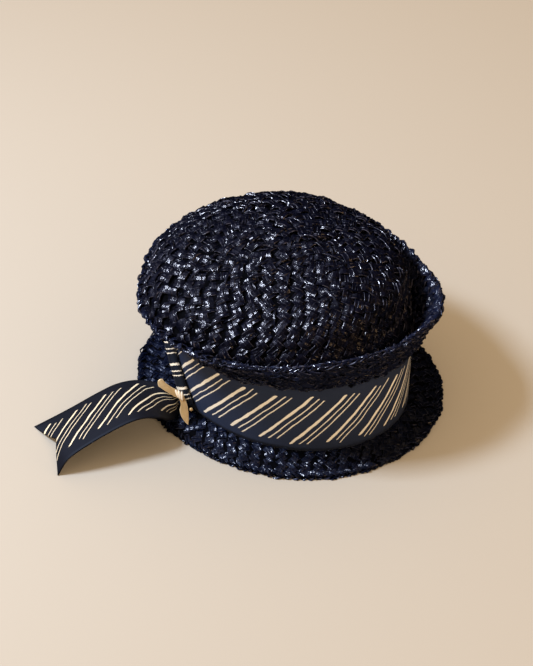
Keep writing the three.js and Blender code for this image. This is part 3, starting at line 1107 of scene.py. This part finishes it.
@dataclass
class Crown:
    """The plaited crown: an oval wall and a rounded top, open underneath."""

    outer: Weave = Weave(pitch=11.2, rise=5.7, lean=45, length=12.6, width=3.6, ply=2, arch=1.1,
                         sink=2.2, thick=0.9, lift=0.0, crease=0.25, untidy=0.8)
    loose: Weave = Weave(pitch=1.0, rise=1.0, lean=90, length=19.0, width=2.1, arch=1.1, sink=2.0,
                         thick=0.9, lift=0.9, crease=0.1, untidy=2.0)
    inner: Weave = Weave(pitch=12.5, rise=8.2, lean=48, length=15.0, width=8.6, arch=0.5, lift=0.3,
                         sink=0.3, untidy=0.5)
    columns: int = 240
    backing: float = 1.3         # thickness of the dark backing
    set_back: float = 0.7        # how far the straws' middle lies below the solid's face
    plait_from: float = 72.0     # height where the outside plait begins, inside the upturned brim
    inside_from: float = 4.0     # along the profile to the first row inside
    loose_straws: int = 90
    loose_from: float = 112.0    # along the profile to the first loose straw
    loose_end: float = 12.0      # from the last one to the middle of the top
    hidden_fill: float = 0.9     # where the crown fills the brim this much, its wall doesn't show
    hidden_below: float = 93.0
    rosette: float = 9.0         # radius of the ring of straws that closes the top
    rosette_straws: int = 5
    cap_rows: int = 24
    fold_at: float = -45.0       # a soft crease runs over the top here, across the head's length
    fold_width: float = 6.0
    fold_depth: float = 2.2
    fold_above: float = 100.0    # height where it begins
    fold_ease: float = 8.0       # how much higher it is at its full depth
    fold_end: float = 60.0       # how far across the head it has faded out
    fold_fade: float = 40.0
    # How the crown's shoulder keeps off the upturned brim and its rim, and where its top begins.
    off: float = 2.4
    lift: float = 2.2
    rim_off: float = 3.4
    rim_lift: float = 0.6
    inset: float = 8.0
    rise: float = 3.5
    fullness: float = 1.6

    def cap(self, foot: Array, fullness: float) -> list[Array]:
        """Rows of the rounded top.

        Args:
            foot: where each column leaves the crown's side.
            fullness: how full the curve is, 2 for an ellipse.

        Returns:
            Rows from the foot up to the middle of the top.
        """
        peak = np.array([CAP.x, CAP.y, CAP.z + CAP_RISE])
        rows = []
        for lift in np.radians(np.linspace(0, 90, self.cap_rows)):
            reach = max(math.cos(lift), 0.0) ** (2 / fullness) * (lift < math.radians(89.9))
            climb = math.sin(lift) ** (2 / fullness)
            row = peak + (foot - peak) * reach
            row[:, 2] = foot[:, 2] + (peak[2] - foot[:, 2]) * climb
            rows.append(row)
        return rows

    def middle(self) -> Array:
        """The crown's mid-surface.

        Returns:
            points[row, column, xyz], in metres, from the foot up.
        """
        turn = np.arange(self.columns) / self.columns
        cuff = Cuff.at(turn)

        def level(s: Section) -> Array:
            """One level of the crown where it stands free."""
            return Oval(s.length, s.width).ring(turn, s.z) + (s.x, s.y, 0)

        foot, head = CROWN_SECTIONS[:2]
        wall = [level(foot._replace(z=z)) for z in np.linspace(foot.z, head.z, 9)]
        free = [*wall, *map(level, CROWN_SECTIONS[2:]), *self.cap(level(CAP), CAP_FULLNESS)]
        shoulder = [
            *wall,
            RIBBON_FACE.ring(turn, BEND_HEIGHT + 0.5 * BEND_ROUND + self.lift, cuff.face - self.off),
            RIBBON_FACE.ring(turn, cuff.middle_up + self.lift, cuff.middle_out - self.off),
            RIBBON_FACE.ring(turn, cuff.top + self.rim_lift, cuff.lip - self.rim_off),
            *self.cap(RIBBON_FACE.ring(turn, cuff.top + self.rise, cuff.lip - self.inset), self.fullness),
        ]
        rows = np.array([a + (b - a) * cuff.fill[:, None] for a, b in zip(free, shoulder)])
        grid = evenly(along_line(rows, np.linspace(0, 1, 6 * len(rows))), 2.0)
        fold = np.exp(-((grid[..., 0] - self.fold_at) / self.fold_width) ** 2)
        fold *= np.clip((self.fold_end - grid[..., 1]) / self.fold_fade, 0, 1)
        fold *= np.clip((grid[..., 2] - self.fold_above) / self.fold_ease, 0, 1)
        return placed(grid - normals_of(grid) * (self.fold_depth * fold)[..., None])

    def build(self) -> list[Object]:
        """Makes the backing, the plait outside and the plait inside.

        Returns:
            The three pieces.
        """
        middle = self.middle()
        normal = normals_of(middle)
        normal[-1] = (0, 0, 1)
        backing = mesh_piece("crown_backing", grid_mesh(middle, self.backing), PaintedShadeBackingFinish().make())
        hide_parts("crown")
        finish = StrawFinish("straw_crown").make()
        off = (STRAW / 2 - self.set_back) * MM
        plait = Plait(CapSkin(middle + off * normal), seed=11)
        self.cover(plait, self.plait_from - WALL_FOOT, self.outer)
        chance, count = np.random.default_rng(14), self.loose_straws
        plait.lay(chance.uniform(0, 1, count),
                  chance.uniform(self.loose_from * MM, plait.skin.length - self.loose_end * MM, count),
                  chance.uniform(0, np.pi, count), 0.0, self.loose)
        plait.keep(self.shows)
        outside = mesh_piece("crown_plait", plait.mesh(), finish, False)
        skin = CapSkin(middle - off * normal)
        skin.normal *= -1
        lining = Plait(skin, seed=12)
        self.cover(lining, self.inside_from, self.inner)
        inside = mesh_piece("crown_plait_inside", lining.mesh(), finish)
        return [backing, outside, inside]

    def shows(self, turn: Array, height: Array) -> Array:
        """Whether a straw outside shows, rather than lying hidden in the brim."""
        return (Cuff.at(turn).fill < self.hidden_fill) | (height > self.hidden_below)

    def cover(self, plait: Plait, start: float, weave: Weave) -> None:
        """Rows of straw from a height up to the top, and a rosette that closes it.

        Args:
            plait: what the rows are added to.
            start: how far along the profile the first row is.
            weave: how the straws lie.
        """
        start, end = start * MM, plait.skin.length
        way = end - self.rosette * MM - start
        rows = round(way / (weave.rise * MM))
        for k in range(rows + 1):
            plait.row(start + way * k / rows, weave, 1 if k % 2 else -1, start=0.5 * (k % 2))
        turn = np.arange(self.rosette_straws) / self.rosette_straws
        plait.lay(turn, 0 * turn + end - 2.5 * MM, 0 * turn + math.radians(35), 0.0, weave)


# --- both brims

@dataclass
class Brim:
    """What both brims share: a sheet that is plaited on both faces and over its rim."""

    node: str
    seed: int
    backing: float               # thickness of the dark backing
    half: float                  # from the sheet's middle to the straws' middle
    half_rim: float              # and the same at the rim
    rim: Weave
    under: Weave                 # on the face that looks down or outwards
    upper: Weave
    rim_rows: tuple              # where the rim's two rows lie, in steps of a row from the edge
    rim_shift: float             # how far their straws are shifted, as a share of that
    first_rows: tuple            # where the rows on both faces begin, in the same steps
    margins: tuple               # and how far from the sheet's foot they end
    finish: StrawFinish

    def middle(self) -> Array:
        """The brim's mid-surface, in metres, from the crown's wall to the rim."""
        raise NotImplementedError

    def build(self) -> list[Object]:
        """Makes the backing and the plait.

        Returns:
            The two pieces.
        """
        middle = self.middle()
        backing = mesh_piece(self.node + "_backing", grid_mesh(middle, self.backing),
                             PaintedShadeBackingFinish().make())
        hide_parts(self.node)
        plait = Plait(Skin(folded_round(middle, self.half, self.half_rim)), self.seed)
        edge, step = plait.skin.length / 2, self.rim.rise * MM
        for k, way in zip(self.rim_rows, (1, -1)):
            plait.row(edge + k * step, self.rim, way, self.rim_shift * k)
        faces = (self.under, -1), (self.upper, 1)
        for (weave, way), first, margin in zip(faces, self.first_rows, self.margins):
            plait.rows(edge + first * step, weave, way, margin)
        straws = above_floor(plait.mesh())
        return [backing, mesh_piece(self.node + "_plait", straws, self.finish.make(), False)]


@dataclass
class UpturnedBrim(Brim):
    """The upper brim: a floor round the crown, a bend and an upright rolled edge."""

    node: str = "upturned_brim"
    seed: int = 21
    backing: float = 1.2
    half: float = 0.95
    half_rim: float = 0.95
    upper: Weave = Weave(pitch=7.2, rise=4.9, lean=44, length=10.0, width=4.8, arch=1.3, sink=1.2,
                         crease=0.4, untidy=1.3)
    under: Weave = Weave(pitch=7.2, rise=4.0, lean=26, length=13.0, width=1.8, ply=2, arch=1.0,
                         sink=1.2, thick=1.1, lift=0.9, crease=0.1, untidy=1.9)
    rim: Weave = Weave(pitch=7.2, rise=4.2, lean=28, length=13.0, width=1.8, ply=2, arch=0.7,
                       sink=1.2, thick=1.2, lift=-0.1, crease=0.1, untidy=1.7)
    rim_rows: tuple = (-0.5, 0.5)
    rim_shift: float = 0.25
    first_rows: tuple = (-1.5, 1.6)
    margins: tuple = (3, 2)
    # The brim's straw is painted lighter and bluer than the crown's: painted light, most of all on its rim's
    # front.
    finish: StrawFinish = StrawFinish("straw_upturned_brim_painted_light", deep=(0.0022, 0.0041, 0.0155, 1),
                                      pale=(0.0078, 0.0122, 0.0410, 1), sheen=(0.66, 0.74, 1.0, 1))
    columns: int = 240
    higher: tuple = (3.5, 6.5, 6.5, 2.0, -1.4)   # than the solid, from the bend to the lip
    drawn_in: tuple = (0.0, 1.0, 0.8, 0.4, 0.0)

    def middle(self) -> Array:
        """The brim's mid-surface.

        Returns:
            points[row, column, xyz], in metres, from the crown's wall to the rim.
        """
        turn = np.arange(self.columns) / self.columns
        floor = WALL_TOP + GAP + STRAW / 2
        cuff = Cuff.at(turn)
        foot = cuff.face - BEND_ROUND + STRAW / 2
        solid = [
            (foot, BEND_HEIGHT - BEND_ROUND),
            (cuff.face - 0.15 * BEND_ROUND, BEND_HEIGHT - 0.3 * BEND_ROUND),
            (cuff.face, BEND_HEIGHT + 0.5 * BEND_ROUND),
            (cuff.middle_out, cuff.middle_up),
            (cuff.lip, cuff.top),
        ]
        profile = [(-RIBBON, floor), (0.0, floor), ((foot - RIBBON) / 2, floor + 1)]
        profile += [(out - inwards, z + up)
                    for (out, z), inwards, up in zip(solid, self.drawn_in, self.higher)]
        grid = placed(np.array([RIBBON_FACE.ring(turn, z, out) for out, z in profile]))
        fine = 10  # rows from one point of the profile to the next
        smooth = along_line(grid, np.linspace(0, 1, fine * (len(profile) - 1) + 1))
        bend = 4 * fine
        return np.concatenate([evenly(smooth[:bend + 1], 1.0 * MM), evenly(smooth[bend:], 1.0 * MM)[1:]])


@dataclass
class LowerBrim(Brim):
    """The flat lower brim that the hat stands on."""

    node: str = "lower_brim"
    seed: int = 31
    backing: float = 1.3
    half: float = 0.9
    half_rim: float = 0.8
    upper: Weave = Weave(pitch=9.6, rise=4.9, lean=45, length=11.5, width=3.3, ply=2, arch=0.6,
                         sink=1.6, thick=0.8, crease=0.2, untidy=0.9)
    under: Weave = Weave(pitch=7.0, rise=7.6, lean=48, length=11.5, width=5.6, arch=0.1, thick=0.7,
                         lift=0.0, sink=0.3, untidy=0.5)
    rim: Weave = Weave(pitch=5.8, rise=4.6, lean=38, length=10.5, width=2.1, ply=2, arch=0.8,
                       thick=1.5, crease=0.1, untidy=1.5)
    rim_rows: tuple = (-0.35, 0.55)
    rim_shift: float = 0.4
    first_rows: tuple = (-1.4, 1.7)
    margins: tuple = (2, 1)
    # The lower brim's straws get a dimmer painted highlight on their edges.
    finish: StrawFinish = StrawFinish("straw_lower_brim", deep=(0.0001, 0.0012, 0.0082, 1),
                                      pale=(0.0012, 0.0036, 0.0175, 1), edge=(0.045, 0.055, 0.098, 1),
                                      sheen=(0.56, 0.66, 1.0, 1), shiny_side=330.0)
    columns: int = 240
    # How far from the foot to the edge, and how much of BRIM_DROP is left there.
    profile: tuple = ((0.0, 1.0), (0.14, 1.0), (0.5, 0.6), (0.76, 0.0), (0.84, 0.0), (1.0, 0.0))

    def middle(self) -> Array:
        """The brim's mid-surface.

        Returns:
            points[row, column, xyz], in metres, from the crown's wall to the edge.
        """
        turn = np.arange(self.columns) / self.columns
        stray = around(EDGE_STRAYS, turn)
        rows = []
        for across, lift in self.profile:
            oval = Oval(HEAD.length + across * (BRIM_EDGE.length - HEAD.length),
                        HEAD.width + across * (BRIM_EDGE.width - HEAD.width))
            rows.append(oval.ring(turn, lift * BRIM_DROP + BRIM_THICK / 2, across * stray))
        return evenly(placed(np.array(rows)), 1.0 * MM)


# --- ribbon

@dataclass
class RibbonBand:
    """The wide ribbon round the crown."""

    columns: int = 288
    rows: int = 17
    thick: float = 0.7
    tight: float = 0.1           # how far its outer face lies inside the solid's
    ease: float = 0.22           # how far it stands off and sinks in between its edges
    ease_waves: int = 9
    first_stripe: float = 413.3  # round the oval from +X to the middle of a broad stripe

    def build(self) -> list[Object]:
        """Makes the band, joined under the roll.

        Returns:
            The band alone.
        """
        height = np.linspace(0, RIBBON_WIDTH, self.rows)
        levels, angles = np.array(ROLL_PATH).T
        join = np.interp(WALL_FOOT + height, levels, angles / 360)
        turns = join[:, None] + np.arange(self.columns + 1) / self.columns
        grid = []
        for v, turn in zip(height, turns[:, :-1]):
            wave = np.sin(2 * np.pi * self.ease_waves * turn + 1.3)
            soft = self.ease * wave * math.sin(math.pi * v / RIBBON_WIDTH)
            grid.append(RIBBON_FACE.ring(turn, WALL_FOOT + v, -self.thick / 2 - self.tight + soft))
        twice = np.linspace(0, 2, 4 * self.columns + 1)
        run = run_of(RIBBON_FACE.ring(twice))
        flat = np.stack([np.interp(turns, twice, run), height[:, None] + 0 * turns], axis=-1)
        finish = RibbonFinish("ribbon_band_stripes", start=self.first_stripe).make()
        mesh = grid_mesh(placed(np.array(grid)), self.thick, flat)
        band = mesh_piece("ribbon_band_cloth", mesh, finish)
        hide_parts("ribbon_band")
        return [band]


@dataclass
class RibbonTail:
    """The ribbon's loose end, arched over the lower brim down to its two tips."""

    rows: int = 72
    columns: int = 20
    notch: float = 15.0
    crown: float = 2.0           # how far the middle stands above the two edges
    thick: float = 0.8

    def build(self) -> list[Object]:
        """Makes the loose end with its swallow-tail cut.

        Returns:
            The tail alone.
        """
        t = np.linspace(0, 1, self.rows + 1)
        across = np.linspace(0, 1, self.columns + 1)
        cut = self.notch / steps_of(along_line(TAIL_FAR, t)).sum() * (1 - np.abs(2 * across - 1))
        grid = np.zeros((len(t), len(across), 3))
        for j, share in enumerate(across):
            place = cut[j] + (1 - cut[j]) * t
            grid[:, j] = along_line(TAIL_FAR, place) * (1 - share) + along_line(TAIL_NEAR, place) * share
            grid[:, j, 2] += self.crown * math.sin(math.pi * share) * np.sin(np.pi * place)
        mesh = above_floor(grid_mesh(placed(grid), self.thick, self.unrolled(grid, across), wrapped=False))
        finish = RibbonFinish("ribbon_tail_stripes", start=28.7, pitch=26.1, slope=44.5, second=12.7,
                              third=18.4, low=10.0, high=52.0, broad=0.76, thin=0.34, sheen=0.0,
                              cloth=(0.0046, 0.0034, 0.0054, 1),
                              print_colour=(0.95, 0.88, 0.64, 1)).make()
        tail = mesh_piece("ribbon_tail_cloth", mesh, finish)
        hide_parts("ribbon_tail")
        return [tail]

    def unrolled(self, grid: Array, across: Array) -> Array:
        """Where each point lay on the flat ribbon.

        Args:
            grid: points[row, column, xyz], from the tips inwards.
            across: each column's share of the width.

        Returns:
            Distance from the root and from the far edge.
        """
        middle = grid[:, grid.shape[1] // 2]
        way = normalised(np.gradient(middle, axis=0))
        run = run_of(middle)
        ahead = ((grid - middle[:, None]) * way[:, None]).sum(axis=2)
        u = (run[-1] - run)[:, None] - ahead
        return np.stack([u, np.broadcast_to(across * RIBBON_WIDTH, u.shape)], axis=-1)


@dataclass
class RibbonRoll:
    """The ribbon rolled into a flat tube over the band's join."""

    half_width: float = 6.2
    half_depth: float = 3.8
    rows: int = 48
    columns: int = 72
    turns: float = 2.0           # how often the ribbon goes round in the roll
    wound_in: float = 0.36       # how much smaller the innermost turn is, as a share
    first_edge: float = -60.0    # degrees from the side to where the innermost edge lies
    pinch: float = 0.12          # how much slimmer the roll's middle is, as a share
    pleat: float = 0.05          # height of the pleats along it, as a share
    thick: float = 0.7

    def build(self) -> list[Object]:
        """Makes the rolled ribbon.

        Returns:
            The roll alone.
        """
        t = np.linspace(0, 1, self.rows + 1)
        levels, angles = np.array(ROLL_PATH)[::-1].T
        middle = along_line(RIBBON_FACE.ring(angles / 360, levels, GAP + self.half_depth), t)
        way = normalised(np.gradient(middle, axis=0))
        out = middle / (RIBBON_FACE.length**2, RIBBON_FACE.width**2, 1)
        out[:, 2] = 0
        out = normalised(out)
        side = normalised(np.cross(way, out))
        turn = np.linspace(0, self.turns, self.columns + 1)
        size = 1 - self.wound_in * (self.turns - turn) / self.turns
        angle = 2 * np.pi * turn + math.radians(self.first_edge)
        pinch = 1 - self.pinch * np.sin(np.pi * t)
        pleat = self.pleat * np.sin(3 * angle[None] + 2.0 * t[:, None] * 3)
        reach = (size[None] + pleat) * pinch[:, None]
        wide = (self.half_width - self.thick / 2) * reach * np.cos(angle)[None]
        deep = (self.half_depth - self.thick / 2) * reach * np.sin(angle)[None]
        grid = middle[:, None] + wide[..., None] * side[:, None] + deep[..., None] * out[:, None]
        v = run_of(grid[self.rows // 2])
        flat = np.stack(np.meshgrid(v, run_of(middle))[::-1], axis=-1)
        mesh = grid_mesh(placed(grid), self.thick, flat, wrapped=False)
        finish = RibbonFinish("ribbon_roll_stripes", start=15.7, pitch=18.65, slope=80.0, low=-20.0,
                              high=90.0, second=5.5, third=9.0, broad=0.95, thin=0.42, sheen=0.1,
                              cloth=(0.0035, 0.0042, 0.0085, 1)).make()
        roll = mesh_piece("ribbon_roll_cloth", mesh, finish)
        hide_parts("ribbon_roll")
        return [roll]


# --- gilt tie

@dataclass
class GiltTie:
    """The gilt tie: a forked plate with rounded edges, a wrap round its knot and a small ball."""

    centre: Place = (-37.35, -88.4, 23.0)
    azimuth: float = 38.0        # which way the plate faces
    elevation: float = 39.0
    thick: float = 1.4
    rounding: float = 0.55
    outline: tuple = (           # curves, each from its first point towards its second and to its third
        ((-14.4, 13.4), (-10.8, 8.2), (-4.0, 5.4)),
        ((-4.0, 5.4), (1.6, 3.6), (3.2, -2.4)),
        ((3.2, -2.4), (6.9, -8.6), (5.7, -22.4)),
        ((5.7, -22.4), (-0.8, -17.0), (-1.0, -10.0)),
        ((-1.0, -10.0), (1.2, -5.2), (-2.0, -1.8)),
        ((-2.0, -1.8), (-9.0, 1.4), (-17.4, 7.6)),
        ((-17.4, 7.6), (-19.2, 13.2), (-14.4, 13.4)),
    )
    curve_steps: int = 7
    wrap: Place = (1.15, 3.7, 1.7)  # half sizes of each turn of the wrap
    wrap_turns: tuple = (((-2.7, 1.6, 0.9), 24), ((-0.9, 0.9, 1.1), 14), ((0.9, 0.1, 1.0), 4))
    ball: Place = (8.0, -10.2, 1.6)
    ball_radius: float = 1.4

    def seated(self, bm: BMesh) -> Mesh:
        """Puts a piece of the tie in its place.

        Args:
            bm: the piece in the plate's own plane, freed here.

        Returns:
            The mesh in the frame.
        """
        turned = (Matrix.Rotation(math.radians(self.azimuth), 4, "Z")
                  @ Matrix.Rotation(math.radians(90 - self.elevation), 4, "X"))
        middle = Vector(self.centre) * MM + head_middle()
        place = Matrix.Translation(middle) @ turned @ Matrix.Scale(MM, 4)
        bmesh.ops.transform(bm, matrix=place, verts=bm.verts)
        return finished(bm)

    def plate(self) -> BMesh:
        """Makes the forked plate.

        Returns:
            The plate in its own plane.
        """
        bm = bmesh.new()
        points = []
        for a, b, c in self.outline:
            for t in np.arange(self.curve_steps) / self.curve_steps:
                x, y = ((1 - t) ** 2 * a[k] + 2 * t * (1 - t) * b[k] + t * t * c[k] for k in (0, 1))
                points.append(bm.verts.new((x, y, -self.thick / 2)))
        raised(bm, [bm.faces.new(points)], (0, 0, self.thick))
        bmesh.ops.recalc_face_normals(bm, faces=bm.faces)
        front = max(bm.faces, key=lambda f: f.calc_center_median().z)
        bmesh.ops.bevel(bm, geom=[*front.edges], offset=self.rounding, segments=3, profile=0.5,
                        affect="EDGES", material=-1)
        return bm

    def build(self) -> list[Object]:
        """Makes the plate with its ball, and the wrap.

        Returns:
            The two pieces.
        """
        bm = self.plate()
        bmesh.ops.create_uvsphere(bm, u_segments=32, v_segments=20, radius=self.ball_radius,
                                  matrix=Matrix.Translation(self.ball))
        tie = mesh_piece("gilt_tie_leaf", self.seated(bm), GiltFinish().make())
        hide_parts("gilt_tie")
        bm = bmesh.new()
        for at, lean in self.wrap_turns:
            matrix = (Matrix.Translation(at) @ Matrix.Rotation(math.radians(lean), 4, "Z")
                      @ Matrix.Diagonal((*self.wrap, 1)))
            bmesh.ops.create_uvsphere(bm, u_segments=24, v_segments=16, radius=1.0, matrix=matrix)
        pale = GiltFinish("pale_wrap", (0.80, 0.70, 0.52, 1), (0.95, 0.90, 0.78, 1), 0.0).make()
        return [tie, mesh_piece("gilt_tie_wrap", self.seated(bm), pale)]


# --- studio

def toward(azimuth: float, elevation: float) -> Vector:
    """The direction from the hat to a place, in degrees from -Y towards +X and above the floor."""
    a, e = math.radians(azimuth), math.radians(elevation)
    return Vector((math.sin(a) * math.cos(e), -math.cos(a) * math.cos(e), math.sin(e)))


def aimed(name: str, data: bpy.types.ID, target: Vector, away: Vector, distance: float) -> Object:
    """Adds a camera or light that faces a target.

    Args:
        name: its name.
        data: the camera or light.
        target: what it faces, in metres.
        away: the direction from there to it.
        distance: how many metres it is away.

    Returns:
        The new object.
    """
    made = linked(name, data)
    made.location = target + away * distance
    made.rotation_mode = "QUATERNION"
    made.rotation_quaternion = (-away).to_track_quat("-Z", "Y")
    return made


@dataclass(frozen=True)
class Lamp:
    """A square soft light."""

    name: str
    azimuth: float
    elevation: float
    distance: float              # metres from the hat
    size: float                  # metres across
    power: float                 # watts
    colour: Place

    def build(self) -> None:
        """Adds the light, facing the middle of the hat."""
        data = bpy.data.lights.new(self.name, "AREA")
        data.energy, data.size, data.color = self.power, self.size, self.colour
        target = head_middle() + Vector((0, 0, 60 * MM))
        aimed(self.name, data, target, toward(self.azimuth, self.elevation), self.distance)


@dataclass
class Studio:
    """The floor, the lights, the surroundings and the camera."""

    target: Place = (-20.1, 38.8, 40.0)
    azimuth: float = 38.0
    elevation: float = 39.0
    distance: float = 1250.0
    lens: float = 85.5
    lamps: tuple[Lamp, ...] = (
        Lamp("key", -48, 52, 1.6, 0.34, 28.0, (0.78, 0.85, 1.0)),
        Lamp("warm_side", 92, 24, 1.3, 0.25, 1.0, (1.0, 0.62, 0.32)),
    )
    surroundings: Colour = (1.06, 0.73, 0.46, 1)
    surroundings_strength: float = 0.90

    def floor(self) -> None:
        """Adds the floor."""
        bm = bmesh.new()
        bmesh.ops.create_grid(bm, x_segments=1, y_segments=1, size=6.0)
        floor = linked("floor", finished(bm))
        floor.data.materials.append(FloorFinish().make())
        floor.visible_glossy = False

    def world(self) -> None:
        """Adds the light of the surroundings."""
        world = bpy.data.worlds.new("surroundings")
        world.use_nodes = True
        background = world.node_tree.nodes["Background"]
        background.inputs["Color"].default_value = self.surroundings
        background.inputs["Strength"].default_value = self.surroundings_strength
        world.cycles_visibility.glossy = False
        bpy.context.scene.world = world

    def camera(self) -> None:
        """Adds the camera."""
        data = bpy.data.cameras.new("camera")
        data.lens = self.lens
        data.sensor_width = 36.0
        data.clip_start, data.clip_end = 0.05, 20.0
        back = toward(self.azimuth, self.elevation)
        camera = aimed("camera", data, Vector(self.target) * MM, back, self.distance * MM)
        bpy.context.scene.camera = camera

    def build(self) -> None:
        """Builds the whole studio."""
        self.floor()
        self.world()
        for lamp in self.lamps:
            lamp.build()
        self.camera()
        view = bpy.context.scene.view_settings
        view.view_transform, view.look = "Standard", "None"


# --- main

@dataclass
class Hat:
    """The whole hat, in the order in which its pieces are built."""

    parts: list = field(default_factory=lambda: [
        Crown(), UpturnedBrim(), LowerBrim(), RibbonBand(), RibbonRoll(), RibbonTail(), GiltTie()])

    def build(self) -> None:
        """Builds each part and reports its pieces."""
        for part in self.parts:
            for piece in part.build():
                piece.data.calc_loop_triangles()
                LOG.info("%s: %d triangles", piece.name, len(piece.data.loop_triangles))


def main() -> None:
    """Builds the hat and its studio."""
    logging.basicConfig(level=logging.INFO, format="%(message)s", stream=sys.stdout)
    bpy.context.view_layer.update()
    Hat().build()
    Studio().build()


if __name__ == "__main__":
    main()
